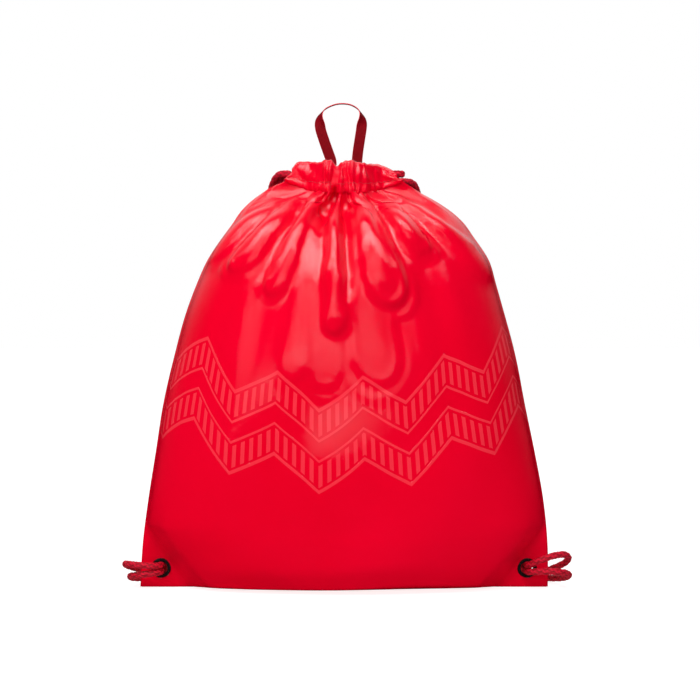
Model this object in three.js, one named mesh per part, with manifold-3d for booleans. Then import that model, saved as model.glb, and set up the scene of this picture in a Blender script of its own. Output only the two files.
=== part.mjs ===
// A drawstring backpack, standing filled with its mouth drawn shut. Millimetres, +Z up, the front towards -Y, and the
// origin on the floor under the middle of the bag. Left and right are as seen from the front.
//
// Two fabric panels are sewn together at the sides and the bottom. Each one ends at the top in a casing, a tunnel
// that the two drawcords run through. Each drawcord leaves its own side of the casings as two strands, which hang
// down the back and are knotted through the eyelet in the bottom corner: they are the shoulder strap.
import * as THREE from "three";
import { mergeVertices } from "three/addons/utils/BufferGeometryUtils.js";
import Module from "manifold-3d";

const wasm = await Module();
wasm.setup();

// ---- Driving dimensions -------------------------------------------------------------------------------------------

const cornerSpan = 350; // across the two flat bottom corners
const neckHeight = 338; // from the floor to the foot of the casings
const bodyDepth = 140; // front to back where the bag is fullest

const fabric = 1.2; // a panel's thickness, with its folds pressed into it
const seamLayer = 1; // the overlocked seam allowances and the corner patches, between the panels
const clearance = 0.3; // between pieces that touch
const seamMargin = 4; // the flat edge where the panels are sewn together
const seamAllowance = 9; // how far an overlocked edge reaches in from the bag's edge

const earLength = 56; // the flat corner, measured along the bottom
const earHeight = 62; // and up the side

const mouthHalfWidth = 44; // from the middle of the mouth to the end of a casing
const mouthEndDepth = 5.6; // from the middle plane to a casing's centre line, at its end
const mouthMiddleDepth = 20; // and in the middle of the mouth
const mouthStraight = 9; // a casing runs straight across this far from the middle, and this far in from its ends
const casingHeight = 26;
const casingWall = 1.2;
const casingPlay = 1.6; // how much wider a casing's hollow is than a cord

const cordDiameter = 5;
const cordSpacing = 1.4; // between the two cords in a casing
const threadDiameter = 0.8;
const stitchHeight = 4; // from a casing's foot to its row of stitches

const eyeletInset = 18; // from the corner's side edge to the eyelet's centre
const eyeletHeight = 17;
const eyeletBore = 11;
const eyeletWall = 0.6;
const flangeWidth = 2.4; // from the barrel out to the flange's rim
const flangeThickness = 1;

const ribbonWidth = 10;
const ribbonThickness = 1.2;
const loopHeight = 52; // from the top of the casing to the top of the hang loop
const loopHalfWidth = 18;
const loopFootSpacing = 22; // between the middles of the ribbon's two sewn ends
const loopEndLength = 19; // how much of each end is sewn to the casing
const tackHeight = 4; // a bar tack, the dense block of stitches across a ribbon end

const knotRadius = 7;

// ---- Sizes that follow from them ----------------------------------------------------------------------------------

const casingThickness = cordDiameter + casingPlay + 2 * casingWall;
const middleGap = seamLayer / 2 + clearance; // from the middle plane to a panel's inner face at a seam
const casingFoot = neckHeight + clearance;
const casingMiddle = casingFoot + casingHeight / 2;
const casingTop = casingFoot + casingHeight;
const casingFace = mouthMiddleDepth + casingThickness / 2; // the outer face of a casing in the middle of the mouth
const cordLevel = (cordDiameter + cordSpacing) / 2; // a cord's centre line above or below the middle of its casing
const barrelRadius = eyeletBore / 2 + eyeletWall;
const flangeRadius = barrelRadius + flangeWidth;
const earFace = middleGap + fabric; // from the middle plane to the outer face of a flat corner
const eyeletX = cornerSpan / 2 - eyeletInset;

const colours = {
  fabric: 0xe3001b,
  lining: 0xb80016,
  cord: 0xc9051c,
  ribbon: 0x9b0010,
  thread: 0xc80018,
  eyelet: 0x16120f,
};
const finish = (color, roughness, metalness = 0) =>
  new THREE.MeshStandardMaterial({ color, roughness, metalness });
const shellFabric = finish(colours.fabric, 0.35);
const seamFabric = finish(colours.lining, 0.7);
const braidedCord = finish(colours.cord, 0.75);
const wovenRibbon = finish(colours.ribbon, 0.6);
const sewingThread = finish(colours.thread, 0.6);
const blackEnamel = finish(colours.eyelet, 0.3, 0.8);

const bag = new THREE.Group();

function add(name, geometry, material) {
  const mesh = new THREE.Mesh(geometry, material);
  mesh.name = name;
  bag.add(mesh);
  return mesh;
}

// ---- Solids -------------------------------------------------------------------------------------------------------

// A closed solid through a row of sections, each a closed loop of as many points. Its ends are flat: end says how to
// read a point of a section as a flat one.
function loft(sections, end = (p) => new THREE.Vector2(p.x, p.y)) {
  const count = sections[0].length;
  const points = sections.flat();
  const index = [];
  for (let row = 0; row + 1 < sections.length; row++) {
    for (let i = 0; i < count; i++) {
      const a = row * count + i;
      const b = row * count + ((i + 1) % count);
      index.push(a, b, b + count, a, b + count, a + count);
    }
  }
  const last = points.length - count;
  for (const [a, b, c] of THREE.ShapeUtils.triangulateShape(sections[0].map(end), [])) {
    index.push(a, c, b, last + a, last + b, last + c);
  }
  return new THREE.BufferGeometry().setFromPoints(points).setIndex(index);
}

// A geometry as a solid that can be cut, and back.
function solid(geometry) {
  const bare = geometry.clone().deleteAttribute("normal").deleteAttribute("uv");
  const merged = mergeVertices(bare, 1e-4);
  const made = new wasm.Manifold(
    new wasm.Mesh({
      numProp: 3,
      vertProperties: merged.attributes.position.array,
      triVerts: new Uint32Array(merged.index.array),
    }),
  );
  return made;
}

function geometryOf(made) {
  const { vertProperties, triVerts } = made.getMesh();
  return new THREE.BufferGeometry()
    .setAttribute("position", new THREE.BufferAttribute(vertProperties, 3))
    .setIndex(new THREE.BufferAttribute(triVerts, 1));
}

// A round bar along a curve, with a section every step.
function bar(curve, diameter, step, sides) {
  const section = new THREE.Shape().absarc(0, 0, diameter / 2, 0, 2 * Math.PI, false);
  return new THREE.ExtrudeGeometry(section, {
    extrudePath: curve,
    steps: Math.ceil(curve.getLength() / step),
    curveSegments: sides / 2,
    bevelEnabled: false,
  });
}

// ---- The bag's body -----------------------------------------------------------------------------------------------

// The filled bag's outline: how high, as a share of the neck's height, then its half width and half depth there as
// shares of the corners' half span and of half the body's depth.
const outline = [
  [0, 1, 0.56],
  [0.03, 1, 0.66],
  [0.1, 0.994, 0.75],
  [0.25, 0.963, 0.86],
  [0.45, 0.892, 0.97],
  [0.62, 0.82, 1],
  [0.75, 0.746, 0.95],
  [0.86, 0.65, 0.8],
  [0.95, 0.5, 0.56],
];
const neckHalfWidth = mouthHalfWidth + 8;
const bodySizes = new THREE.CubicInterpolant(
  [...outline.map(([share]) => share * neckHeight), neckHeight],
  [
    ...outline.flatMap(([, wide, deep]) => [(wide * cornerSpan) / 2, (deep * bodyDepth) / 2]),
    neckHalfWidth,
    casingFace,
  ],
  2,
);

function bodyAt(z) {
  const [halfWidth, halfDepth] = bodySizes.evaluate(Math.min(z, neckHeight));
  const ear = Math.max(seamMargin, earLength * (1 - z / earHeight));
  return { halfWidth, halfDepth, bulge: halfWidth - ear };
}

// Heights for the sections, closer together at the floor and at the neck.
const rows = 15;
const heights = Array.from({ length: rows + 1 }, (_, i) => (1 - Math.cos((Math.PI * i) / rows)) / 2);

// The front half of the bag's section at height z, from its left edge round the front to its right edge. The bulge is
// an ellipse a little pointed at the seams.
const bulgeSteps = 18;
const pointedness = 1.2;

function bulgeArc(halfWidth, halfDepth, offset, z) {
  return Array.from({ length: bulgeSteps + 1 }, (_, i) => {
    const angle = Math.PI * (i / bulgeSteps - 0.5);
    const deep = Math.max(0, Math.cos(angle)) ** pointedness;
    return new THREE.Vector3(halfWidth * Math.sin(angle), -(offset + halfDepth * deep), z);
  });
}

function outerSection(z) {
  const { halfWidth, halfDepth, bulge } = bodyAt(z);
  return [
    new THREE.Vector3(-halfWidth, -middleGap, z),
    new THREE.Vector3(-halfWidth, -earFace, z),
    ...bulgeArc(bulge, halfDepth - earFace, earFace, z),
    new THREE.Vector3(halfWidth, -earFace, z),
    new THREE.Vector3(halfWidth, -middleGap, z),
  ];
}

// The hollow inside the front half, which runs out past the middle plane.
function innerSection(z) {
  const { halfDepth, bulge } = bodyAt(z + fabric);
  const side = bulge - fabric;
  return [
    ...bulgeArc(side, halfDepth - earFace, middleGap, z),
    new THREE.Vector3(side, 1, z),
    new THREE.Vector3(-side, 1, z),
  ];
}

// A hole for an eyelet's barrel, right through a corner.
function barrelHole(side) {
  const hole = new THREE.CylinderGeometry(barrelRadius + clearance, barrelRadius + clearance, 20, 24);
  return solid(hole.translate(side * eyeletX, 0, eyeletHeight));
}

function panel() {
  const outer = loft(heights.map((share) => outerSection(share * neckHeight)));
  const inner = loft(heights.map((share) => innerSection(fabric + share * neckHeight)));
  const shell = solid(outer).subtract(solid(inner));
  return geometryOf(shell.subtract(barrelHole(-1)).subtract(barrelHole(1)));
}

const panelShape = panel();
add("front_panel", panelShape, shellFabric);
add("back_panel", panelShape, shellFabric).scale.y = -1;

// ---- Between the panels: overlocked edges and corner patches --------------------------------------------------------

const layerFoot = 0.5; // the layer between the panels ends this far above the floor

// The layer's solid from its outline in the XZ plane.
function layer(shape) {
  const flat = new THREE.ExtrudeGeometry(shape, { depth: seamLayer, bevelEnabled: false, curveSegments: 12 });
  return flat.rotateX(Math.PI / 2).translate(0, seamLayer / 2, 0);
}

// One side's overlocked edge, from the corner patch to the neck.
function sideSeam() {
  const steps = 14;
  const from = earHeight + clearance;
  const to = neckHeight - 6;
  const edge = Array.from({ length: steps + 1 }, (_, i) => from + ((to - from) * i) / steps);
  const outer = edge.map((z) => new THREE.Vector2(bodyAt(z).halfWidth, z));
  const inner = edge.map((z) => new THREE.Vector2(bodyAt(z).halfWidth - seamAllowance, z));
  return layer(new THREE.Shape([...outer, ...inner.reverse()]));
}

// A corner patch: the flat corner's outline, with the hole for the eyelet.
function cornerPatch() {
  const shape = new THREE.Shape([
    new THREE.Vector2(bodyAt(0).halfWidth - earLength, layerFoot),
    new THREE.Vector2(bodyAt(0).halfWidth, layerFoot),
    new THREE.Vector2(bodyAt(earHeight / 2).halfWidth, earHeight / 2),
    new THREE.Vector2(bodyAt(earHeight).halfWidth, earHeight),
    new THREE.Vector2(bodyAt(earHeight).halfWidth - seamAllowance, earHeight),
    new THREE.Vector2(bodyAt(0).halfWidth - earLength, seamAllowance),
  ]);
  const hole = new THREE.Path().absarc(eyeletX, eyeletHeight, barrelRadius + clearance, 0, 2 * Math.PI, true);
  shape.holes.push(hole);
  return layer(shape);
}

function bottomSeam() {
  const end = bodyAt(0).halfWidth - earLength - clearance;
  const corners = [[-end, layerFoot], [end, layerFoot], [end, seamAllowance], [-end, seamAllowance]];
  return layer(new THREE.Shape(corners.map(([x, z]) => new THREE.Vector2(x, z))));
}

add("right_side_overlock", sideSeam(), seamFabric);
add("left_side_overlock", sideSeam(), seamFabric).scale.x = -1;
add("right_corner_patch", cornerPatch(), seamFabric);
add("left_corner_patch", cornerPatch(), seamFabric).scale.x = -1;
add("bottom_overlock", bottomSeam(), seamFabric);

// ---- The mouth: casings, their stitches and the cords in them -------------------------------------------------------

// From the middle plane to the front casing's centre line.
function mouthDepth(x) {
  const back = THREE.MathUtils.smoothstep(Math.abs(x), mouthStraight, mouthHalfWidth - mouthStraight);
  return mouthMiddleDepth - (mouthMiddleDepth - mouthEndDepth) * back;
}

// A line along the front casing at height z, squarely out from the casing's centre line.
function mouthLine(z, out = 0, halfWidth = mouthHalfWidth) {
  const steps = 14;
  const along = Array.from({ length: steps + 1 }, (_, i) => {
    const x = halfWidth * ((2 * i) / steps - 1);
    const slope = mouthDepth(x + 0.5) - mouthDepth(x - 0.5);
    const squarely = new THREE.Vector3(-slope, -1, 0).setLength(out);
    return new THREE.Vector3(x, -mouthDepth(x), z).add(squarely);
  });
  return new THREE.CatmullRomCurve3(along);
}

// A flat tunnel's section, long in the shape's own x, which ends up upright.
function tunnelOutline(shape, height, thickness) {
  const radius = thickness / 2;
  const straight = height / 2 - radius;
  shape.absarc(straight, 0, radius, -Math.PI / 2, Math.PI / 2, false);
  shape.absarc(-straight, 0, radius, Math.PI / 2, (3 * Math.PI) / 2, false);
  return shape;
}

function casing() {
  const section = tunnelOutline(new THREE.Shape(), casingHeight, casingThickness);
  const hollow = [casingHeight - 2 * casingWall, casingThickness - 2 * casingWall];
  section.holes.push(tunnelOutline(new THREE.Path(), ...hollow));
  return new THREE.ExtrudeGeometry(section, {
    extrudePath: mouthLine(casingMiddle),
    steps: 14,
    curveSegments: 3,
    bevelEnabled: false,
  });
}

function casingStitch() {
  const out = casingThickness / 2 + clearance + threadDiameter / 2;
  return bar(mouthLine(casingFoot + stitchHeight, out, mouthHalfWidth - 4), threadDiameter, 6, 6);
}

// Where a drawcord turns back from the front casing to the back one, round the end of the mouth.
function returnBend(side, z) {
  const start = mouthHalfWidth + clearance;
  const reach = 2 * cordDiameter;
  const points = Array.from({ length: 9 }, (_, i) => {
    const angle = (Math.PI * i) / 8;
    const x = side * (start + reach * Math.sin(angle));
    return new THREE.Vector3(x, -mouthEndDepth * Math.cos(angle), z);
  });
  return bar(new THREE.CatmullRomCurve3(points), cordDiameter, 4, 10);
}

// The left drawcord runs in the upper half of the casings and the right one in the lower half.
const leftCordZ = casingMiddle + cordLevel;
const rightCordZ = casingMiddle - cordLevel;

for (const [place, turned] of [["front", 1], ["back", -1]]) {
  add(place + "_casing", casing(), shellFabric).scale.y = turned;
  add(place + "_casing_stitch", casingStitch(), sewingThread).scale.y = turned;
  add("left_drawcord_" + place + "_run", bar(mouthLine(leftCordZ), cordDiameter, 6, 10), braidedCord).scale.y = turned;
  add("right_drawcord_" + place + "_run", bar(mouthLine(rightCordZ), cordDiameter, 6, 10), braidedCord).scale.y = turned;
}
add("left_drawcord_bend", returnBend(1, leftCordZ), braidedCord);
add("right_drawcord_bend", returnBend(-1, rightCordZ), braidedCord);

// ---- The eyelets ----------------------------------------------------------------------------------------------------

// Rings about the Y axis, which is the eyelet's own. The flange is in front, and the barrel's rim is rolled over the
// washer behind.
const washerNear = earFace + clearance;
const washerFar = washerNear + flangeThickness;

function ring(profile) {
  const points = [...profile, profile[0]].map(([radius, y]) => new THREE.Vector2(radius, y));
  return new THREE.LatheGeometry(points, 28);
}

function eyelet() {
  const bore = eyeletBore / 2;
  const front = -(earFace + clearance);
  const rolled = washerFar + clearance;
  return ring([
    [bore, front - flangeThickness + 0.3],
    [bore + 0.4, front - flangeThickness],
    [flangeRadius - 0.5, front - flangeThickness + 0.2],
    [flangeRadius, front],
    [barrelRadius, front],
    [barrelRadius, rolled],
    [barrelRadius + 1, rolled],
    [barrelRadius + 0.8, rolled + eyeletWall],
    [bore, rolled + eyeletWall],
  ]);
}

function washer() {
  const inner = barrelRadius + clearance;
  return ring([[inner, washerNear], [flangeRadius, washerNear], [flangeRadius - 0.4, washerFar], [inner, washerFar]]);
}

for (const [place, side] of [["left", -1], ["right", 1]]) {
  for (const [name, geometry] of [["_eyelet", eyelet()], ["_eyelet_washer", washer()]]) {
    add(place + name, geometry, blackEnamel).position.set(side * eyeletX, 0, eyeletHeight);
  }
}

// ---- The hang loop --------------------------------------------------------------------------------------------------

const ribbonY = casingFace + clearance + ribbonThickness / 2;
const loopFoot = casingTop - 1; // where the loop leaves its sewn ends, which it turns on
const loopTop = casingTop + loopHeight;

// The loop's middle line: up the left side, over the top and down the right side.
const loopLine = new THREE.CatmullRomCurve3(
  [
    [-loopFootSpacing / 2, loopFoot],
    [-loopFootSpacing / 2, loopFoot + 3],
    [-loopFootSpacing / 2 - 2, loopFoot + 9],
    [-loopHalfWidth + 1, loopTop - 33],
    [-loopHalfWidth, loopTop - 18],
    [-loopHalfWidth + 4, loopTop - 7],
    [-loopHalfWidth / 2, loopTop - 1.5],
    [0, loopTop],
    [loopHalfWidth / 2, loopTop - 1.5],
    [loopHalfWidth - 4, loopTop - 7],
    [loopHalfWidth, loopTop - 18],
    [loopHalfWidth - 1, loopTop - 33],
    [loopFootSpacing / 2 + 2, loopFoot + 9],
    [loopFootSpacing / 2, loopFoot + 3],
    [loopFootSpacing / 2, loopFoot],
  ].map(([x, z]) => new THREE.Vector3(x, ribbonY, z)),
);

// The ribbon lies flat against the casing at its foot, and turns edge on to the front over the top.
function hangLoop() {
  const steps = 40;
  const forward = new THREE.Vector3(0, 1, 0);
  const sections = Array.from({ length: steps + 1 }, (_, i) => {
    const at = loopLine.getPointAt(i / steps);
    const along = loopLine.getTangentAt(i / steps);
    const turn = (Math.PI / 2) * THREE.MathUtils.smoothstep(at.z, loopTop - 32, loopTop - 6);
    const across = new THREE.Vector3().crossVectors(along, forward).multiplyScalar(Math.cos(turn));
    across.addScaledVector(forward, Math.sin(turn)).normalize().multiplyScalar(ribbonWidth / 2);
    const through = new THREE.Vector3().crossVectors(along, across).setLength(ribbonThickness / 2);
    return [[1, 1], [-1, 1], [-1, -1], [1, -1]].map(([w, t]) =>
      at.clone().addScaledVector(across, w).addScaledVector(through, t),
    );
  });
  return loft(sections);
}

// One sewn end of the ribbon, and the bar tack across it.
function plate(width, thickness, height, x, y, top) {
  return new THREE.BoxGeometry(width, thickness, height).translate(x, y, top - height / 2);
}

add("hang_loop", hangLoop(), wovenRibbon);
for (const [place, side] of [["left", -1], ["right", 1]]) {
  const x = (side * loopFootSpacing) / 2;
  const top = loopFoot - ribbonThickness / 2 - clearance; // clear of the loop's foot as it turns
  const tackY = ribbonY + ribbonThickness / 2 + clearance + threadDiameter / 2;
  const end = plate(ribbonWidth, ribbonThickness, loopEndLength, x, ribbonY, top);
  const tack = plate(ribbonWidth - 1, threadDiameter, tackHeight, x, tackY, top - loopEndLength + tackHeight + 2);
  add("hang_loop_" + place + "_end", end, wovenRibbon);
  add("hang_loop_" + place + "_tack", tack, sewingThread);
}

// ---- The straps: the free strands of the drawcords --------------------------------------------------------------------

// Each strand's route, from the end of its casing over the shoulder, down the back panel, along the floor behind the
// bag and round the corner's edge, then from the front through the eyelet. It keeps these points whatever the bag's
// other sizes are.
const routes = {
  left_strap_front_strand: [
    [-44.3, -5.6, 354.5], [-46, -5.6, 354.5], [-50.5, -4.3, 354.6], [-54.3, -0.8, 354.4], [-57, 3.4, 353.1],
    [-59.5, 8.5, 350.3], [-62.4, 16, 344.2], [-65, 26, 335], [-67.2, 36.8, 323.3], [-69.5, 48.5, 307],
    [-71.2, 57.5, 288], [-72, 64, 266], [-72, 67, 244], [-72, 68, 218],
    [-72, 68.2, 190], [-73, 68.4, 150], [-74, 68.8, 110], [-75, 69.5, 70], [-76, 71, 40], [-77, 75, 18],
    [-77, 84, 6], [-75, 97, 2.8], [-76, 113, 2.7], [-88, 126, 2.7], [-106, 128, 2.7], [-122, 118, 2.7],
    [-128, 100, 2.7], [-132, 80, 2.7], [-142, 60, 3.2], [-156, 43, 6], [-170, 31, 10], [-181, 20, 14.2],
    [-186.5, 9, 17.5], [-187.5, -2, 20.3], [-183, -12, 21.3], [-174, -17, 21], [-165, -16, 20.2],
    [-159, -11, 19.8], [-157, -5, 19.7], [-157, 0, 19.7], [-157, 5, 19.7],
  ],
  left_strap_back_strand: [
    [-44.3, 5.6, 354.5], [-46, 5.6, 354.5], [-49.5, 6.3, 353.9], [-53, 8.2, 352], [-55, 10.9, 349.4],
    [-57, 17, 343.8], [-59.3, 27.5, 334.8], [-61.8, 38, 322.8], [-63.8, 50, 307], [-65.2, 59, 289], [-66, 65, 269], [-66, 68.6, 246], [-66, 69.8, 218],
    [-66.5, 70, 190], [-67.5, 70.2, 150], [-68.5, 70.6, 110], [-69.5, 71.4, 70], [-70.5, 73, 40],
    [-71, 77.5, 18], [-69, 88, 6], [-67, 101, 2.8], [-71, 118, 2.7], [-85, 132, 2.7], [-107, 134.5, 2.7],
    [-127, 122, 2.7], [-134, 102, 2.7], [-138, 83, 2.7], [-147, 64, 2.7], [-159, 49, 2.8], [-171, 37, 3.5],
    [-180, 24, 5], [-183.5, 12, 7], [-183.5, 0, 9.5], [-179, -10, 11.5], [-171, -14.5, 12.8], [-163.5, -13.5, 13.8],
    [-158.5, -9.5, 14.2], [-157, -4.5, 14.3], [-157, 0, 14.3], [-157, 5, 14.3],
  ],
  right_strap_front_strand: [
    [44.3, -5.6, 348.1], [46, -5.6, 348.1], [50.5, -4.3, 348], [54.3, -0.8, 347.9], [57.3, 3.4, 347.5],
    [60, 8.5, 345.9], [62.7, 16, 341], [65.2, 26, 333], [67.3, 36.8, 322.8], [69.5, 48.5, 307],
    [71.2, 57.5, 288], [72, 64, 266], [72, 67, 244], [72, 68, 218],
    [72, 68.2, 190], [73, 68.4, 150], [74, 68.8, 110], [75, 69.5, 70], [76, 71, 40], [78, 75, 18],
    [79, 84, 6], [78, 97, 2.8], [80, 112, 2.7], [92, 123, 2.7], [109, 124, 2.7], [123, 113, 2.7],
    [129, 96, 2.7], [136, 77, 2.7], [147, 60, 2.7], [160, 46, 4.5], [173, 34, 9], [184, 21, 15],
    [191, 9, 20.5], [192.5, -2, 26], [187.5, -11, 29.5], [178, -16, 28.8], [168, -16.5, 25.5],
    [160.5, -12, 21.5], [157.3, -6, 19.9], [157, 0, 19.7], [157, 5, 19.7],
  ],
  right_strap_back_strand: [
    [44.3, 5.6, 348.1], [46, 5.6, 348.1], [49.6, 6.3, 347.9], [53, 8.3, 347.3], [55.3, 11.3, 346],
    [57.5, 17.5, 342], [59.8, 27.5, 334], [62.2, 38, 322.8], [64, 50, 307], [65.2, 59, 289], [66, 65, 269], [66, 68.6, 246], [66, 69.8, 218],
    [66.5, 70, 190], [67.5, 70.2, 150], [68.5, 70.6, 110], [69.5, 71.4, 70], [70.5, 73, 40],
    [71.5, 77.5, 18], [70, 88, 6], [69, 101, 2.8], [74, 117, 2.7], [88, 129, 2.7], [109, 130.5, 2.7],
    [127, 118.5, 2.7], [135, 99, 2.7], [142, 81, 2.7], [153, 65, 2.7], [166, 52, 2.7], [179, 39, 3.2],
    [189, 25, 5], [193, 11, 8], [192.5, -2, 11.5], [186.5, -12, 14.3], [177, -16, 15.6], [168, -15.5, 15.4],
    [160.5, -11.5, 14.7], [157.3, -6, 14.3], [157, 0, 14.3], [157, 5, 14.3],
  ],
};

for (const [name, points] of Object.entries(routes)) {
  const line = new THREE.CatmullRomCurve3(points.map((p) => new THREE.Vector3(...p)));
  add(name, bar(line, cordDiameter, 12, 8), braidedCord);
}

// The knot behind each eyelet, which the two strands of a strap end in.
for (const [place, side] of [["left", -1], ["right", 1]]) {
  const knot = new THREE.SphereGeometry(knotRadius, 14, 10);
  add(place + "_strap_knot", knot, braidedCord).position.set(side * eyeletX, 5 + clearance + knotRadius, eyeletHeight);
}

export default bag;
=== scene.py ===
"""A filled drawstring backpack of glossy coated fabric, standing with its mouth drawn shut.

Lengths are in metres.
"""

import math

import bmesh
import bpy
import numpy as np
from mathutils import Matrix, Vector


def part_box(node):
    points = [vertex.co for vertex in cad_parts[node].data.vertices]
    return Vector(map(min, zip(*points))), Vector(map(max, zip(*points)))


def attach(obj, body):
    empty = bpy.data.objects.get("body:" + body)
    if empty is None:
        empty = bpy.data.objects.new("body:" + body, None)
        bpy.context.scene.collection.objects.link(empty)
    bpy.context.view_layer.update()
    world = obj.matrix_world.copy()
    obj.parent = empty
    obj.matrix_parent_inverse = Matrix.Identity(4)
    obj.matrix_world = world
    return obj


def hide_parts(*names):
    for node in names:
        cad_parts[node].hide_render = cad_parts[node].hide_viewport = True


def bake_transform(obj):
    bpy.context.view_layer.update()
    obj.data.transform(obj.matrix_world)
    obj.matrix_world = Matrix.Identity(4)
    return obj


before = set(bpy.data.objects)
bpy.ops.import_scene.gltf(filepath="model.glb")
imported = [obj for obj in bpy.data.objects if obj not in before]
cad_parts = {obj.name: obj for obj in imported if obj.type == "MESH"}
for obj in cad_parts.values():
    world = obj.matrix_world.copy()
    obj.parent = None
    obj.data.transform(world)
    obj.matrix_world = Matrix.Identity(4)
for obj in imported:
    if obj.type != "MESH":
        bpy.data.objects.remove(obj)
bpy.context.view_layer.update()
bpy.ops.object.select_all(action="DESELECT")
scene = bpy.context.scene
scene.view_settings.view_transform = "Standard"

MM = 0.001

# ---- Sizes from the frame ------------------------------------------------------------------------

casing_low, casing_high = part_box("front_casing")
eyelet_low, eyelet_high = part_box("right_eyelet")
loop_low, loop_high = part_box("hang_loop")
HALF_CASING = 0.0045  # half the thickness of a casing
CASING_FOOT = casing_low.z
MOUTH_HALF_WIDTH = casing_high.x
MOUTH_DEPTH = -casing_low.y  # to the outside of the front casing, where it bulges most
MOUTH_END_DEPTH = HALF_CASING - casing_high.y  # to the middle of the casing at its ends
EYELET_X = (eyelet_low.x + eyelet_high.x) / 2
EYELET_Z = (eyelet_low.z + eyelet_high.z) / 2

# ---- Sizes of the soft goods ---------------------------------------------------------------------

CUT_HALF_WIDTH = 0.175  # of each panel, laid flat
CUT_HEIGHT = 0.430
CASING_DEPTH = 0.026  # of the cut height, folded over for the cord's tunnel
PANEL_HEIGHT = CUT_HEIGHT - CASING_DEPTH
CLOTH = 0.0005  # the coated fabric's thickness
CELL = 0.0035  # the cloth's mesh
FLOOR = 0.0001  # the lowest any cord lies
RIBBON_HALF_WIDTH = 0.0046


# ---- Camera --------------------------------------------------------------------------------------


def make_camera():
    """A long lens, a little above the middle of the bag and straight in front of it."""
    aim = Vector((0.0051, 0, 0.204))
    lens = 120
    sensor = 36
    view_width = 0.6
    elevation = math.radians(1.5)
    distance = view_width * lens / sensor
    data = bpy.data.cameras.new("camera")
    data.lens = lens
    camera = bpy.data.objects.new("camera", data)
    scene.collection.objects.link(camera)
    back = Vector((0, -math.cos(elevation), math.sin(elevation)))
    camera.location = aim + back * distance
    camera.rotation_euler = (-back).to_track_quat("-Z", "Y").to_euler()
    scene.camera = camera


make_camera()


# ---- Helpers -------------------------------------------------------------------------------------


def smoothstep(value, low, high):
    """0 up to low, 1 from high on, and a smooth climb between them."""
    t = np.clip((value - low) / (high - low), 0, 1)
    return t * t * (3 - 2 * t)


def smooth_curve(at, xs, ys):
    """A smooth curve through the points (xs, ys), read at the values at."""
    xs, ys = np.array(xs, float), np.array(ys, float)
    slopes = np.gradient(ys, xs)
    at = np.clip(at, xs[0], xs[-1])
    k = np.clip(np.searchsorted(xs, at) - 1, 0, len(xs) - 2)
    h = xs[k + 1] - xs[k]
    t = (at - xs[k]) / h
    return (
        (2 * t**3 - 3 * t**2 + 1) * ys[k]
        + (t**3 - 2 * t**2 + t) * h * slopes[k]
        + (-2 * t**3 + 3 * t**2) * ys[k + 1]
        + (t**3 - t**2) * h * slopes[k + 1]
    )


def make_mesh(name, points, faces, material):
    """A piece from its points and faces, shaded smooth, with its finish."""
    mesh = bpy.data.meshes.new(name)
    points = [tuple(map(float, point)) for point in points]
    mesh.from_pydata(points, [], [tuple(map(int, face)) for face in faces])
    mesh.validate()
    piece = bpy.data.objects.new(name, mesh)
    scene.collection.objects.link(piece)
    mesh.materials.append(material)
    mesh.polygons.foreach_set("use_smooth", [True] * len(mesh.polygons))
    return piece


def grid_faces(index, closed=False, flip=False):
    """The faces of a grid of vertex numbers."""
    rows = index if not closed else np.concatenate([index, index[:1]])
    faces = []
    for i in range(len(rows) - 1):
        for j in range(rows.shape[1] - 1):
            face = (rows[i, j], rows[i + 1, j], rows[i + 1, j + 1], rows[i, j + 1])
            faces.append(face[::-1] if flip else face)
    return faces


def tube_faces(index, flip=False):
    """The faces of a tube of vertex numbers, round by along, with both its ends shut."""
    turn = -1 if flip else 1
    ends = [tuple(index[::-turn, 0]), tuple(index[::turn, -1])]
    return grid_faces(index, closed=True, flip=flip) + ends


def numbered(grid):
    """The vertex numbers of a grid of points."""
    return np.arange(grid.shape[0] * grid.shape[1]).reshape(grid.shape[:2])


def distances(line):
    """How far along a line each of its points lies."""
    return np.concatenate([[0], np.cumsum(np.linalg.norm(np.diff(line, axis=0), axis=1))])


def write_uv(piece, values):
    """Gives each vertex its own place on the UV map."""
    layer = piece.data.uv_layers.new(name="UVMap")
    loops = np.zeros(len(piece.data.loops), np.int32)
    piece.data.loops.foreach_get("vertex_index", loops)
    layer.data.foreach_set("uv", np.asarray(values, np.float32)[loops].ravel())


def select_only(piece):
    bpy.ops.object.select_all(action="DESELECT")
    piece.select_set(True)
    bpy.context.view_layer.objects.active = piece


def apply_modifiers(piece):
    select_only(piece)
    for modifier in list(piece.modifiers):
        bpy.ops.object.modifier_apply(modifier=modifier.name)
    piece.select_set(False)


def add_subdivision(piece):
    subdivide = piece.modifiers.new("subdivide", "SUBSURF")
    subdivide.levels = subdivide.render_levels = 1
    return subdivide


def add_thickness(piece):
    thick = piece.modifiers.new("thick", "SOLIDIFY")
    thick.thickness = CLOTH
    thick.offset = -1


# ---- Materials -----------------------------------------------------------------------------------


def new_material(name, colour, roughness, **sockets):
    """A material with a Principled shader, its uniform values set on the shader's own sockets."""
    material = bpy.data.materials.new(name)
    material.use_nodes = True
    shader = material.node_tree.nodes["Principled BSDF"]
    shader.inputs["Base Color"].default_value = (*colour, 1)
    shader.inputs["Roughness"].default_value = roughness
    for socket, value in sockets.items():
        shader.inputs[socket.replace("_", " ")].default_value = value
    return material, material.node_tree, shader


def node(tree, kind, **settings):
    made = tree.nodes.new(kind)
    for key, value in settings.items():
        setattr(made, key, value)
    return made


def maths(tree, operation, *values):
    made = node(tree, "ShaderNodeMath", operation=operation)
    for socket, value in zip(made.inputs, values):
        if isinstance(value, (int, float)):
            socket.default_value = value
        else:
            tree.links.new(value, socket)
    return made.outputs[0]


def scaled(tree, coordinates, scale):
    mapping = node(tree, "ShaderNodeMapping")
    mapping.inputs["Scale"].default_value = scale
    tree.links.new(coordinates, mapping.inputs["Vector"])
    return mapping.outputs["Vector"]


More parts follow.
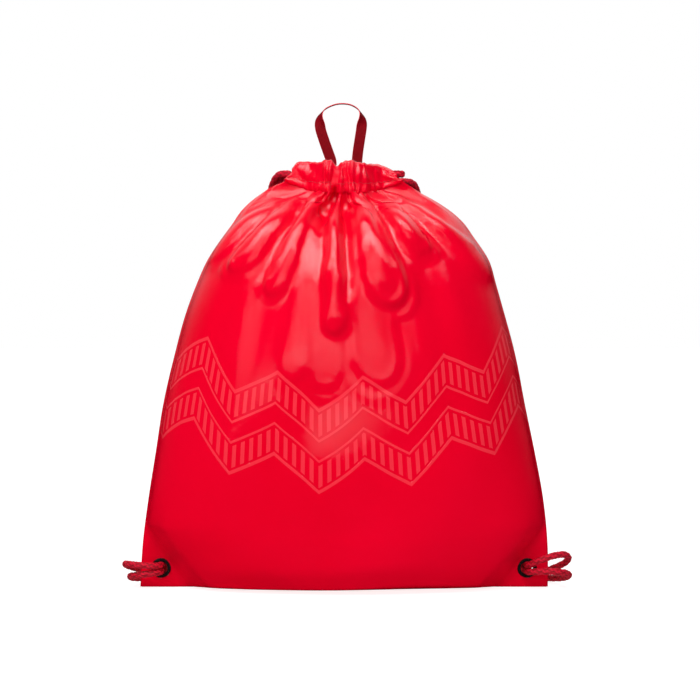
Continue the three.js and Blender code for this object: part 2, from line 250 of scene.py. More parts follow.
def split_of(tree, coordinates):
    """The separate X, Y and Z of some coordinates."""
    split = node(tree, "ShaderNodeSeparateXYZ")
    tree.links.new(coordinates, split.inputs[0])
    return split.outputs


def wave(tree, coordinates, direction, scale, distortion=0.0):
    made = node(tree, "ShaderNodeTexWave", bands_direction=direction)
    made.inputs["Scale"].default_value = scale
    made.inputs["Distortion"].default_value = distortion
    tree.links.new(coordinates, made.inputs["Vector"])
    return made.outputs["Fac"]


def bump(tree, shader, height, distance, strength=1.0, before=None):
    """Relief on the shader, on top of the relief before it."""
    made = node(tree, "ShaderNodeBump")
    made.inputs["Distance"].default_value = distance
    made.inputs["Strength"].default_value = strength
    tree.links.new(height, made.inputs["Height"])
    if before:
        tree.links.new(before, made.inputs["Normal"])
    tree.links.new(made.outputs["Normal"], shader.inputs["Normal"])
    return made.outputs["Normal"]


def weave_height(tree, coordinates, pitch):
    """Threads over and under each other, pitch apart."""
    split = split_of(tree, scaled(tree, coordinates, (math.pi / pitch,) * 3))
    across = maths(tree, "SINE", split["X"])
    along = maths(tree, "SINE", split["Y"])
    weft = maths(tree, "MULTIPLY", across, across)
    warp = maths(tree, "MULTIPLY", along, along)
    return maths(tree, "ADD", weft, warp)


def noise(tree, coordinates, scale, detail=2.0):
    made = node(tree, "ShaderNodeTexNoise")
    made.inputs["Scale"].default_value = scale
    made.inputs["Detail"].default_value = detail
    tree.links.new(coordinates, made.inputs["Vector"])
    return made.outputs["Fac"]


def uv_of(tree):
    return node(tree, "ShaderNodeTexCoord").outputs["UV"]


def object_of(tree):
    return node(tree, "ShaderNodeTexCoord").outputs["Object"]


def mixed(tree, share, a, b):
    """The colour a turning into b as share goes from 0 to 1."""
    made = node(tree, "ShaderNodeMix", data_type="RGBA")
    tree.links.new(share, made.inputs["Factor"])
    for socket, value in ((made.inputs[6], a), (made.inputs[7], b)):
        if isinstance(value, tuple):
            socket.default_value = (*value, 1)
        else:
            tree.links.new(value, socket)
    return made.outputs[2]


# Colours are linear.
SHELL_RED = (0.80, 0.0005, 0.017)
DEEP_SHELL_RED = (0.80, 0.0003, 0.014)
BRIGHT_SHELL_RED = (0.90, 0.0006, 0.026)
PRINT_RED = (0.93, 0.032, 0.055)
THREAD_PITCH = 0.00045  # of the shell fabric's weave


def coated_fabric(name, printed):
    """Glossy coated polyester, plain or with the printed band."""
    material, tree, shader = new_material(name, SHELL_RED, 0.035, Specular_IOR_Level=0.6)
    uv = uv_of(tree)
    crumple = bump(tree, shader, noise(tree, object_of(tree), 42, 3), 0.0011, 0.2)
    weave = bump(tree, shader, weave_height(tree, uv, THREAD_PITCH), 0.00005, 0.4, crumple)
    cloud = noise(tree, object_of(tree), 9, 3)
    colour = mixed(tree, cloud, DEEP_SHELL_RED, BRIGHT_SHELL_RED)
    if printed:
        band = printed_band(tree, uv)
        colour = mixed(tree, band, colour, PRINT_RED)
        bump(tree, shader, band, 0.00012, 0.7, weave)
    tree.links.new(colour, shader.inputs["Base Color"])
    return material


def printed_band(tree, uv):
    """1 where the two chevron stripes are printed: bars between two outlines each."""
    limb, slope, height = 0.035, 0.8, 0.172  # of the zigzag that the band follows
    bar_pitch, bar_share = 0.0068, 0.46
    split = split_of(tree, uv)
    across, up = split["X"], split["Y"]
    zigzag = maths(tree, "PINGPONG", maths(tree, "ADD", across, 1.0), limb)
    level = maths(tree, "SUBTRACT", up, maths(tree, "MULTIPLY", zigzag, slope))
    from_middle = maths(tree, "ABSOLUTE", maths(tree, "SUBTRACT", level, height))
    # Each COMPARE gives a line: how far it lies from the middle of the band, and half its width.
    outer = maths(tree, "COMPARE", from_middle, 0.034, 0.0016)
    inner = maths(tree, "COMPARE", from_middle, 0.0085, 0.0011)
    between = maths(tree, "COMPARE", from_middle, 0.0212, 0.0092)
    count = maths(tree, "FRACT", maths(tree, "DIVIDE", across, bar_pitch))
    bars = maths(tree, "MULTIPLY", between, maths(tree, "LESS_THAN", count, bar_share))
    outlines = maths(tree, "ADD", outer, inner)
    return maths(tree, "MINIMUM", maths(tree, "ADD", bars, outlines), 1.0)


def braided_cord():
    """Braided polyester, with painted shade between its plaits."""
    material, tree, shader = new_material(
        "braided_cord", (0.55, 0.001, 0.014), 0.55, Specular_IOR_Level=0.2
    )
    fibres = wave(tree, uv_of(tree), "DIAGONAL", 2400, 1.5)
    bump(tree, shader, fibres, 0.00008, 0.6)
    # The braid's height picks the colour: dark in the hollows between the plaits, a painted shade.
    height = node(tree, "ShaderNodeAttribute", attribute_name="plait_shade")
    colour = mixed(tree, height.outputs["Fac"], (0.24, 0.0004, 0.006), (0.92, 0.004, 0.040))
    tree.links.new(colour, shader.inputs["Base Color"])
    return material


def woven_ribbon():
    """Ribbed ribbon, its red darkened to a painted shade, with a painted highlight along its
    selvedge.
    """
    selvedge_highlight_width = 0.00015
    material, tree, shader = new_material(
        "woven_ribbon", (0.2, 0.0, 0.004), 0.6, Specular_IOR_Level=0.07
    )
    uv = uv_of(tree)
    bump(tree, shader, wave(tree, uv, "Y", 400), 0.00012, 0.7)
    # The ribbon's dark red, with tone that varies at random, is a painted shade.
    colour = mixed(tree, noise(tree, uv, 160), (0.17, 0.0, 0.003), (0.25, 0.0, 0.006))
    across = maths(tree, "ABSOLUTE", split_of(tree, uv)["X"])
    # A bright band along each edge of the ribbon, a painted highlight.
    selvedge_highlight = maths(tree, "GREATER_THAN", across, RIBBON_HALF_WIDTH - selvedge_highlight_width)
    colour = mixed(tree, selvedge_highlight, colour, (0.95, 0.03, 0.06))
    tree.links.new(colour, shader.inputs["Base Color"])
    return material


def sewing_thread():
    """Twisted polyester thread."""
    material, tree, shader = new_material("sewing_thread", (0.62, 0.002, 0.018), 0.5)
    bump(tree, shader, wave(tree, object_of(tree), "DIAGONAL", 900), 0.00006, 0.6)
    return material


def black_enamel():
    """Black enamel on metal, worn through in small spots."""
    material, tree, shader = new_material(
        "black_enamel", (0.005, 0.0045, 0.0045), 0.16, Specular_IOR_Level=0.22
    )
    worn = noise(tree, object_of(tree), 900, 4)
    bump(tree, shader, worn, 0.00005, 0.3)
    spots = maths(tree, "GREATER_THAN", worn, 0.66)
    colour = mixed(tree, spots, (0.010, 0.009, 0.009), (0.09, 0.075, 0.06))
    tree.links.new(colour, shader.inputs["Base Color"])
    return material


def overlock_cloth():
    """Raw cloth under overlock stitches."""
    material, tree, shader = new_material(
        "overlock_cloth", (0.42, 0.0, 0.012), 0.75, Sheen_Weight=0.2
    )
    loops = wave(tree, object_of(tree), "DIAGONAL", 120, 1)
    bump(tree, shader, loops, 0.0003, 0.7)
    colour = mixed(tree, loops, (0.30, 0.0, 0.008), (0.62, 0.0, 0.02))
    tree.links.new(colour, shader.inputs["Base Color"])
    return material


PRINTED_FABRIC = coated_fabric("printed_fabric", printed=True)
PLAIN_FABRIC = coated_fabric("plain_fabric", printed=False)
CORD = braided_cord()
RIBBON = woven_ribbon()
THREAD = sewing_thread()
ENAMEL = black_enamel()
OVERLOCK = overlock_cloth()


# ---- The straps: the free strands of the drawcords -----------------------------------------------

# Each strand's route in millimetres: out of its casing, over the shoulder, down the back, in a
# loose curve on the floor, round the edge of the flat corner and from the front through the eyelet.
ROUTES = {
    "left_strap_front_strand": [
        (-44.3, -5.6, 354.5), (-46, -5.6, 354.5), (-50.5, -4.3, 354.6), (-54.3, -0.8, 354.4),
        (-57, 3.4, 353.1), (-59.5, 8.5, 350.3), (-62.4, 16, 344.2), (-65, 26, 335),
        (-67.2, 36.8, 323.3), (-69.5, 48.5, 307), (-71.2, 57.5, 288), (-72, 64, 266),
        (-72, 67, 244), (-72, 68, 218), (-72, 68.2, 190), (-73, 68.4, 150), (-74, 68.8, 110),
        (-75, 69.5, 70), (-76, 71, 40), (-77, 75, 18), (-77, 84, 6), (-75, 97, 2.8),
        (-76, 113, 2.7), (-88, 126, 2.7), (-106, 128, 2.7), (-122, 118, 2.7), (-128, 100, 2.7),
        (-132, 80, 2.7), (-142, 60, 3.2), (-156, 43, 6), (-170, 31, 10), (-181, 20, 14.2),
        (-186.5, 9, 17.5), (-187.5, -2, 20.3), (-183, -12, 21.3), (-174, -17, 21),
        (-165, -16, 20.2), (-159, -11, 19.8), (-157, -5, 19.7), (-157, 0, 19.7), (-157, 5, 19.7),
    ],
    "left_strap_back_strand": [
        (-44.3, 5.6, 354.5), (-46, 5.6, 354.5), (-49.5, 6.3, 353.9), (-53, 8.2, 352),
        (-55, 10.9, 349.4), (-57, 17, 343.8), (-59.3, 27.5, 334.8), (-61.8, 38, 322.8),
        (-63.8, 50, 307), (-65.2, 59, 289), (-66, 65, 269), (-66, 68.6, 246), (-66, 69.8, 218),
        (-66.5, 70, 190), (-67.5, 70.2, 150), (-68.5, 70.6, 110), (-69.5, 71.4, 70),
        (-70.5, 73, 40), (-71, 77.5, 18), (-69, 88, 6), (-67, 101, 2.8), (-71, 118, 2.7),
        (-85, 132, 2.7), (-107, 134.5, 2.7), (-127, 122, 2.7), (-134, 102, 2.7), (-138, 83, 2.7),
        (-147, 64, 2.7), (-159, 49, 2.8), (-171, 37, 3.5), (-180, 24, 5), (-183.5, 12, 7),
        (-183.5, 0, 9.5), (-179, -10, 11.5), (-171, -14.5, 12.8), (-163.5, -13.5, 13.8),
        (-158.5, -9.5, 14.2), (-157, -4.5, 14.3), (-157, 0, 14.3), (-157, 5, 14.3),
    ],
    "right_strap_front_strand": [
        (44.3, -5.6, 348.1), (46, -5.6, 348.1), (50.5, -4.3, 348), (54.3, -0.8, 347.9),
        (57.3, 3.4, 347.5), (60, 8.5, 345.9), (62.7, 16, 341), (65.2, 26, 333),
        (67.3, 36.8, 322.8), (69.5, 48.5, 307), (71.2, 57.5, 288), (72, 64, 266), (72, 67, 244),
        (72, 68, 218), (72, 68.2, 190), (73, 68.4, 150), (74, 68.8, 110), (75, 69.5, 70),
        (76, 71, 40), (78, 75, 18), (79, 84, 6), (78, 97, 2.8), (80, 112, 2.7), (92, 123, 2.7),
        (109, 124, 2.7), (123, 113, 2.7), (129, 96, 2.7), (136, 77, 2.7), (147, 60, 2.7),
        (160, 46, 4.5), (173, 34, 9), (184, 21, 15), (191, 9, 20.5), (192.5, -2, 26),
        (187.5, -11, 29.5), (178, -16, 28.8), (168, -16.5, 25.5), (160.5, -12, 21.5),
        (157.3, -6, 19.9), (157, 0, 19.7), (157, 5, 19.7),
    ],
    "right_strap_back_strand": [
        (44.3, 5.6, 348.1), (46, 5.6, 348.1), (49.6, 6.3, 347.9), (53, 8.3, 347.3),
        (55.3, 11.3, 346), (57.5, 17.5, 342), (59.8, 27.5, 334), (62.2, 38, 322.8), (64, 50, 307),
        (65.2, 59, 289), (66, 65, 269), (66, 68.6, 246), (66, 69.8, 218), (66.5, 70, 190),
        (67.5, 70.2, 150), (68.5, 70.6, 110), (69.5, 71.4, 70), (70.5, 73, 40), (71.5, 77.5, 18),
        (70, 88, 6), (69, 101, 2.8), (74, 117, 2.7), (88, 129, 2.7), (109, 130.5, 2.7),
        (127, 118.5, 2.7), (135, 99, 2.7), (142, 81, 2.7), (153, 65, 2.7), (166, 52, 2.7),
        (179, 39, 3.2), (189, 25, 5), (193, 11, 8), (192.5, -2, 11.5), (186.5, -12, 14.3),
        (177, -16, 15.6), (168, -15.5, 15.4), (160.5, -11.5, 14.7), (157.3, -6, 14.3),
        (157, 0, 14.3), (157, 5, 14.3),
    ],
}


def flowing_line(points, step):
    """A centripetal Catmull-Rom curve through the points, read about every step."""
    points = np.array(points, float)
    points = np.concatenate([[2 * points[0] - points[1]], points, [2 * points[-1] - points[-2]]])
    line = []
    for p0, p1, p2, p3 in zip(points, points[1:], points[2:], points[3:]):
        t0 = 0.0
        t1 = t0 + np.linalg.norm(p1 - p0) ** 0.5
        t2 = t1 + np.linalg.norm(p2 - p1) ** 0.5
        t3 = t2 + np.linalg.norm(p3 - p2) ** 0.5
        for t in np.linspace(t1, t2, 24, endpoint=False):
            a1 = (t1 - t) / (t1 - t0) * p0 + (t - t0) / (t1 - t0) * p1
            a2 = (t2 - t) / (t2 - t1) * p1 + (t - t1) / (t2 - t1) * p2
            a3 = (t3 - t) / (t3 - t2) * p2 + (t - t2) / (t3 - t2) * p3
            b1 = (t2 - t) / (t2 - t0) * a1 + (t - t0) / (t2 - t0) * a2
            b2 = (t3 - t) / (t3 - t1) * a2 + (t - t1) / (t3 - t1) * a3
            line.append((t2 - t) / (t2 - t1) * b1 + (t - t1) / (t2 - t1) * b2)
    line.append(points[-2])
    line = np.array(line)
    along = distances(line)
    even = np.linspace(0, along[-1], max(8, round(along[-1] / step)))
    return np.stack([np.interp(even, along, line[:, k]) for k in range(3)], axis=1)


def carried_frames(line):
    """Two directions square to the line at each point, carried along it without twisting."""
    tangents = np.gradient(line, axis=0)
    tangents /= np.linalg.norm(tangents, axis=1)[:, None]
    side = np.cross(tangents[0], (0.31, 0.2, 0.93))
    sides = []
    for tangent in tangents:
        side = side - tangent * (side @ tangent)
        side = side / np.linalg.norm(side)
        sides.append(side)
    sides = np.array(sides)
    return sides, np.cross(tangents, sides)


CORD_RADIUS = 0.0029  # to the outside of the soft plaits
BRAID_PITCH = 0.019
BRAID_STRANDS = 4  # in each direction


def cord_mesh(name, line, radius):
    """A braided tube along a line, its ends rounded shut."""
    sides = 22
    across, up = carried_frames(line)
    along = distances(line)
    angle = np.linspace(0, 2 * math.pi, sides, endpoint=False)
    turns = 2 * math.pi * along / BRAID_PITCH
    left = BRAID_STRANDS * (angle[:, None] + turns[None] / 2)
    right = BRAID_STRANDS * (angle[:, None] - turns[None] / 2)
    over = 0.5 + 0.5 * np.clip(2.2 * np.sin(left) * np.sin(right), -1, 1)
    weave = np.maximum(np.abs(np.cos(left / 2)) * over, np.abs(np.cos(right / 2)) * (1 - over))
    ends = np.minimum(along, along[-1] - along)
    shut = np.sqrt(np.clip(1 - (1 - np.clip(ends / radius, 0, 1)) ** 2, 0.002, 1))
    reach = (radius * (0.94 + 0.30 * (weave - 0.5))) * shut[None]
    spoke = np.cos(angle)[:, None, None] * across[None] + np.sin(angle)[:, None, None] * up[None]
    points = line[None] + reach[..., None] * spoke
    faces = tube_faces(numbered(points))
    points[..., 2] = np.maximum(points[..., 2], FLOOR)
    piece = make_mesh(name, points.reshape(-1, 3), faces, CORD)
    # The braid's height, kept for the cord's painted shade between its plaits.
    height = piece.data.attributes.new("plait_shade", "FLOAT", "POINT")
    height.data.foreach_set("value", np.clip(weave * 1.25 - 0.25, 0, 1).astype(np.float32).ravel())
    place = np.stack(np.broadcast_arrays(radius * angle[:, None], along[None]), axis=-1)
    write_uv(piece, place.reshape(-1, 2))
    return piece


CORD_STEP = 0.0006  # between the rings of a short cord
STRAP_STEP = 0.0007  # and of a long one


def make_straps():
    """The four free strands. Near the shoulder each bends over to the lip that its end rides on."""
    for node_name, route in ROUTES.items():
        line = flowing_line(np.array(route) * MM, STRAP_STEP)
        name = node_name.replace("_strand", "_cord")
        piece = cord_mesh(name, line, CORD_RADIUS)
        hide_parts(node_name)
        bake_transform(piece)


make_straps()


def make_bends():
    """The short loop of each drawcord from the front casing to the back one, in two halves."""
    swell = 1.05
    for side, cord in ((1, "left"), (-1, "right")):
        low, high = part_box(cord + "_drawcord_bend")
        z = (low.z + high.z) / 2
        end_x = low.x if side > 0 else high.x
        turn = np.linspace(0, math.pi / 2, 24)
        for half, hand in (("front", -1), ("back", 1)):
            inside = [
                (end_x - side * d, hand * MOUTH_END_DEPTH, z) for d in (0.009, 0.006, 0.003)
            ]
            reach = side * MOUTH_END_DEPTH * swell
            arc = [
                (end_x + reach * math.sin(t), hand * MOUTH_END_DEPTH * math.cos(t), z)
                for t in turn
            ]
            past_middle = (arc[-1][0], -hand * 0.0004, z)
            line = flowing_line(inside + arc[::4] + [past_middle], CORD_STEP)
            piece = cord_mesh(f"{cord}_drawcord_bend_{half}_half", line, CORD_RADIUS)
            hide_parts(cord + "_drawcord_bend")
            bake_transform(piece)


def make_knots():
    """An overhand knot behind each eyelet, with two short tails."""
    pulled_tight = CORD_RADIUS * 0.92
    for name, side in (("left_strap_knot", -1), ("right_strap_knot", 1)):
        low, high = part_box(name)
        middle = np.array((low + high) / 2)
        size = (high.z - low.z) / 2
        turn = np.linspace(0, 2 * math.pi, 60)
        knot = np.stack([
            np.sin(turn) + 2 * np.sin(2 * turn),
            1.5 * np.sin(3 * turn),
            np.cos(turn) - 2 * np.cos(2 * turn),
        ], axis=1)
        knot = middle + knot * size * 0.23
        piece = cord_mesh(name + "_cord", flowing_line(knot[::2], CORD_STEP), pulled_tight)
        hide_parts(name)
        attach(piece, "bag")
        for number, lean in enumerate((-1, 1)):
            tail = middle + np.array([
                (side * 0.001 * lean, 0.001, -0.001),
                (side * 0.003 * lean, 0.004, -0.004),
                (0.0055 * lean, 0.0065, -0.008),
                (0.0085 * lean, 0.0085, -0.0115),
                (0.0125 * lean, 0.0105, -0.0132),
            ])
            line = flowing_line(tail, CORD_STEP)
            end = cord_mesh(f"{name}_tail_{number + 1}", line, pulled_tight)
            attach(end, "bag")


make_bends()
make_knots()


# ---- The filled sack -----------------------------------------------------------------------------

# The standing bag's outline: height, then how far it reaches to the left and to the right.
OUTLINE = [
    (0.000, 0.1752, 0.1750), (0.034, 0.1733, 0.1750), (0.076, 0.1680, 0.1710),
    (0.117, 0.1615, 0.1635), (0.158, 0.1550, 0.1550), (0.199, 0.1455, 0.1470),
    (0.240, 0.1340, 0.1360), (0.261, 0.1260, 0.1300), (0.281, 0.1170, 0.1240),
    (0.302, 0.1030, 0.1100), (0.312, 0.0955, 0.1030), (0.323, 0.0880, 0.0910),
    (0.333, 0.0775, 0.0755), (0.341, 0.0660, 0.0610), (0.347, 0.0565, 0.0535),
    (0.350, 0.0510, 0.0495),
]
# Height, then how far the front reaches forward of the side seams.
PROFILE = [
    (0.000, 0.044), (0.012, 0.056), (0.040, 0.064), (0.080, 0.068), (0.150, 0.0685),
    (0.220, 0.0655), (0.270, 0.059), (0.305, 0.048), (0.330, 0.036), (0.350, 0.025),
]
EAR_LENGTH = 0.044  # the flat corner along the floor
EAR_HEIGHT = 0.056  # and up the side
EAR_FACE = 0.0019  # from the middle plane to the flat corner's face
FLOOR_LIFT = 0.0035  # the sack's front edge curls up off the floor this much
SEAM_HALF = 0.0006  # from the middle plane to a panel's edge at its seam
SEAM_Z = 0.0007  # the bottom seam's height
NECK_HALF_WIDTH = 0.0495  # of the gathered fabric, where the side seams end


def reach_left(z):
    """How far the bag's edge lies to the left at height z."""
    heights, lefts, _ = zip(*OUTLINE)
    return smooth_curve(z, heights, lefts)


def reach_right(z):
    heights, _, rights = zip(*OUTLINE)
    return smooth_curve(z, heights, rights)


def sack_section(z, share):
    """The front half of the sack's section at height z, read at shares of the way along it.

    The shares go from -1, at the left side seam, to 1, at the right one. Near the floor the ends
    of the section are flat corners.
    """
    left, right = reach_left(z), reach_right(z)
    deep = smooth_curve(z, *zip(*PROFILE))
    ear = max(0.0015, EAR_LENGTH * (1 - z / EAR_HEIGHT))
    face = SEAM_HALF + (EAR_FACE - SEAM_HALF) * float(smoothstep(ear, 0.002, 0.012))
    rim = min(0.003, ear * 0.4)
    middle, half = (right - left) / 2, (right + left) / 2 - ear
    angle = np.linspace(-math.pi / 2, math.pi / 2, 121)
    bulge = np.cos(angle) ** 1.02
    low = 1 - float(smoothstep(z, 0.03, 0.075))
    facet = half * (1 - np.abs(np.sin(angle))) / 0.038
    bulge = bulge + (np.minimum(bulge, facet) - bulge) * low
    x = np.concatenate([[-left, rim - left], middle + half * np.sin(angle), [right - rim, right]])
    y = np.concatenate([[SEAM_HALF, face], face + deep * bulge, [face, SEAM_HALF]])
    along = np.concatenate([[0], np.cumsum(np.hypot(np.diff(x), np.diff(y)))])
    at = (share + 1) / 2 * along[-1]
    return np.interp(at, along, x), np.interp(at, along, y)


def gathered_x(share):
    """Where the drawn cord gathers the fabric to: loosely at the casing's ends, tightly between."""
    shares = [-1, -0.86, -0.80, -0.50, 0, 0.50, 0.82, 0.90, 1]
    places = [-1, -0.56, -0.46, -0.30, -0.06, 0.24, 0.56, 0.70, 1]
    return NECK_HALF_WIDTH * np.interp(share, shares, places)


def casing_foot(x):
    """The height of the casing's foot, which climbs towards the ends of the mouth."""
    ripple = 0.0008 * np.sin(x * 880 + 0.6) + 0.0005 * np.sin(x * 1430)
    ripple = ripple * (1 - smoothstep(np.abs(x), 0.026, 0.042))
    return CASING_FOOT + 0.0105 * np.abs(x / NECK_HALF_WIDTH) ** 2.6 + ripple


def mouth_depth(x):
    """How far the middle of a casing lies from the bag's middle plane."""
    back = smoothstep(np.abs(x), 0.009, MOUTH_HALF_WIDTH - 0.009)
    middle = MOUTH_DEPTH - HALF_CASING
    return middle - (middle - MOUTH_END_DEPTH) * back


FOOT_OFFSET = 0.0034  # from the middle of a casing out to its sewn foot

# The small gathers at the mouth: where each stands, its half width and how far it stands out.
FRONT_GATHERS = [
    (-0.0225, 0.0024, 0.0026), (-0.0172, 0.0022, 0.0054), (-0.0122, 0.0019, 0.0048),
    (-0.0076, 0.0022, -0.0060), (-0.0030, 0.0020, 0.0048), (0.0020, 0.0018, 0.0030),
    (0.0078, 0.0025, 0.0052), (0.0135, 0.0020, 0.0030), (0.0190, 0.0024, 0.0042),
    (0.0248, 0.0020, 0.0024), (0.0300, 0.0026, 0.0030), (0.0372, 0.0028, 0.0016),
    (-0.0278, 0.0020, 0.0026), (-0.0340, 0.0026, 0.0030), (-0.0400, 0.0024, 0.0016),
]
BACK_GATHERS = [
    (-0.0390, 0.0028, 0.0016), (-0.0320, 0.0024, 0.0034), (-0.0262, 0.0022, 0.0030),
    (-0.0205, 0.0021, 0.0040), (-0.0055, 0.0020, 0.0034), (-0.0005, 0.0019, 0.0044),
    (0.0045, 0.0020, 0.0030), (0.0200, 0.0022, 0.0040), (0.0255, 0.0020, 0.0030),
    (0.0310, 0.0024, 0.0036), (0.0380, 0.0028, 0.0018),
]


def drawn_height(x, gathers):
    """How far the small gathers stand out at the mouth."""
    height = np.full(np.shape(x), -0.0012)
    for place, half, stand in gathers:
        height = height + stand * np.exp(-(((x - place) / half) ** 2))
    return height * (1 - smoothstep(np.abs(x), 0.036, 0.046))


def sack_side(gathers):
    """One side of the sack up to the casing's foot, facing the front: points, across by up."""
    columns = round(2 * CUT_HALF_WIDTH / CELL)
    rows = round(PANEL_HEIGHT / CELL)
    share = np.linspace(-1, 1, columns + 1)
    levels = np.concatenate([np.linspace(FLOOR_LIFT, 0.30, 60), np.linspace(0.303, 0.350, 22)])
    sections = [sack_section(z, share) for z in levels]
    grid = np.zeros((columns + 1, rows + 1, 3))
    end_x = gathered_x(share)
    end_z = casing_foot(end_x)
    end_y = mouth_depth(end_x) + FOOT_OFFSET + drawn_height(end_x, gathers)
    up = np.linspace(0, PANEL_HEIGHT, rows + 1)
    for i in range(columns + 1):
        x = np.array([s[0][i] for s in sections])
        y = np.array([s[1][i] for s in sections])
        z = levels.copy()
        # Below the mouth the fabric is drawn together over this height, and less at the sides.
        reach = 0.006 + 0.034 * (1 - abs(share[i]) ** 4)
        pinch = smoothstep(z, end_z[i] - reach, end_z[i]) ** 1.5
        x = x + (end_x[i] - x) * pinch
        parted = 0.034 - 0.020 * abs(share[i]) ** 8
        y = y + (end_y[i] - y) * smoothstep(z, end_z[i] - parted, end_z[i]) ** 1.5
        keep = z < end_z[i]
        x, y, z = (np.append(v[keep], e) for v, e in ((x, end_x[i]), (y, end_y[i]), (z, end_z[i])))
        # From its front edge, which curls up, the fabric goes under the bag to the bottom seam.
        foot = y[0]
        under = np.linspace(0, 1, 8)[:-1]
        curl = FLOOR_LIFT + 0.003 * float(np.exp(-(((x[0] - 0.07) / 0.05) ** 2)))
        lift = curl * min(1.0, foot / 0.02)
        z = z + (lift - FLOOR_LIFT) * (1 - smoothstep(z, 0, 0.05))
        x = np.concatenate([np.full(len(under), x[0]), x])
        y = np.concatenate([SEAM_HALF + (foot - SEAM_HALF) * under, y])
        z = np.concatenate([SEAM_Z + (lift - SEAM_Z) * under**3, z])
        steps = np.sqrt(np.diff(x) ** 2 + np.diff(y) ** 2 + np.diff(z) ** 2)
        along = np.concatenate([[0], np.cumsum(steps)])
        at = up / up[-1] * along[-1]
        column = [np.interp(at, along, x), -np.interp(at, along, y), np.interp(at, along, z)]
        grid[i] = np.stack(column, axis=1)
    return grid


# The big folds that fall from the drawn mouth: where each leaves the mouth, where its round tip
# lies (across and up), how wide it is there and how far it stands out.
FRONT_FOLDS = [
    (-0.040, -0.122, 0.276, 0.036, 0.007),
    (-0.031, -0.091, 0.268, 0.031, 0.010),
    (-0.020, -0.060, 0.249, 0.026, 0.011),
    (-0.008, -0.008, 0.217, 0.023, 0.013),
    (0.011, 0.040, 0.238, 0.044, 0.013),
    (0.022, 0.068, 0.284, 0.026, 0.011),
    (0.033, 0.107, 0.286, 0.024, 0.008),
    (0.042, 0.128, 0.262, 0.026, 0.005),
    (-0.022, -0.042, 0.178, 0.030, 0.004),
    (-0.004, -0.016, 0.170, 0.034, 0.003),
    (0.010, 0.030, 0.172, 0.052, 0.004),
]
BACK_FOLDS = [
    (-0.038, -0.118, 0.272, 0.034, 0.007),
    (-0.030, -0.084, 0.258, 0.032, 0.010),
    (-0.020, -0.052, 0.226, 0.032, 0.012),
    (-0.008, -0.020, 0.262, 0.026, 0.010),
    (0.006, 0.014, 0.216, 0.028, 0.012),
    (0.018, 0.048, 0.250, 0.030, 0.011),
    (0.028, 0.080, 0.268, 0.028, 0.010),
    (0.038, 0.116, 0.278, 0.032, 0.007),
    (0.010, 0.034, 0.176, 0.044, 0.004),
    (-0.012, -0.030, 0.168, 0.040, 0.004),
]


def ring(q, place, half):
    """A raised ring round a fold, at the given place between its middle, 0, and its edge, 1."""
    return np.exp(-(((q - place) / half) ** 2))


def fold_height(x, z, folds):
    """How far the big folds stand out at (x, z), seen from in front.

    Each is a tongue that widens downwards to a round tip, with a raised rim inside its edge and
    a lip outside it.
    """
    height = np.zeros_like(x)
    top = CASING_FOOT + 0.002
    root_half = 0.0038
    for root, tip, tip_z, width, stand in folds:
        length = math.hypot(top - tip_z, tip - root)
        t = (top - z) / (top - tip_z)
        run = np.clip(t, 0, 1)
        middle = root + (tip - root) * run**0.85
        half = root_half + (width / 2 - root_half) * run**0.62
        cap = np.clip((t - 1) * length / (0.66 * width) + 1, 0, None)
        q = np.sqrt(((x - middle) / half) ** 2 + cap**2)
        rise = 0.78 * stand * smoothstep(run, -0.2, 0.5) * (1 - 0.25 * smoothstep(run, 0.6, 1.0))
        rim = 0.44 * rise * ring(q, 0.78, 0.11) * smoothstep(run, 0.25, 0.7)
        lip = 0.34 * rise * ring(q, 1.17, 0.14) * smoothstep(run, 0.4, 0.85)
        height = np.maximum(height, rise * np.clip(1 - q**2.2, 0, 1) ** 0.8 + rim + lip)
    # Between the folds the fabric sinks in, near the mouth.
    near = smoothstep(z, 0.285, 0.336)
    return height - 0.004 * near * (1 - smoothstep(height, 0, 0.003))


# Sharp creases between the folds: where each starts, where it ends, its half width and its depth.
FRONT_CREASES = [
    ((0.0005, 0.334), (0.0035, 0.244), 0.0034, 0.0075),
    ((-0.0150, 0.330), (-0.0215, 0.300), 0.0028, 0.0040),
    ((0.0180, 0.330), (0.0330, 0.290), 0.0028, 0.0035),
    ((-0.0290, 0.328), (-0.0520, 0.300), 0.0026, 0.0035),
    ((0.0270, 0.332), (0.0620, 0.302), 0.0026, 0.0035),
    ((-0.0260, 0.292), (-0.0370, 0.190), 0.0024, 0.0016),
]
BACK_CREASES = [
    ((-0.0010, 0.332), (-0.0050, 0.250), 0.0034, 0.0060),
    ((0.0120, 0.330), (0.0300, 0.268), 0.0030, 0.0040),
    ((-0.0160, 0.330), (-0.0360, 0.270), 0.0030, 0.0040),
]


def crease_depth(x, z, valleys):
    """How far the sharp creases cut in at (x, z)."""
    depth = np.zeros_like(x)
    for (x0, z0), (x1, z1), half, deep in valleys:
        length = math.hypot(x1 - x0, z1 - z0)
        along = ((x - x0) * (x1 - x0) + (z - z0) * (z1 - z0)) / length**2
        aside = ((x - x0) * (z1 - z0) - (z - z0) * (x1 - x0)) / length
        ends = smoothstep(along, -0.25, 0.15) * (1 - smoothstep(along, 0.55, 1.1))
        depth = np.maximum(depth, deep * ends * np.exp(-np.abs(aside / half) ** 1.5))
    return depth


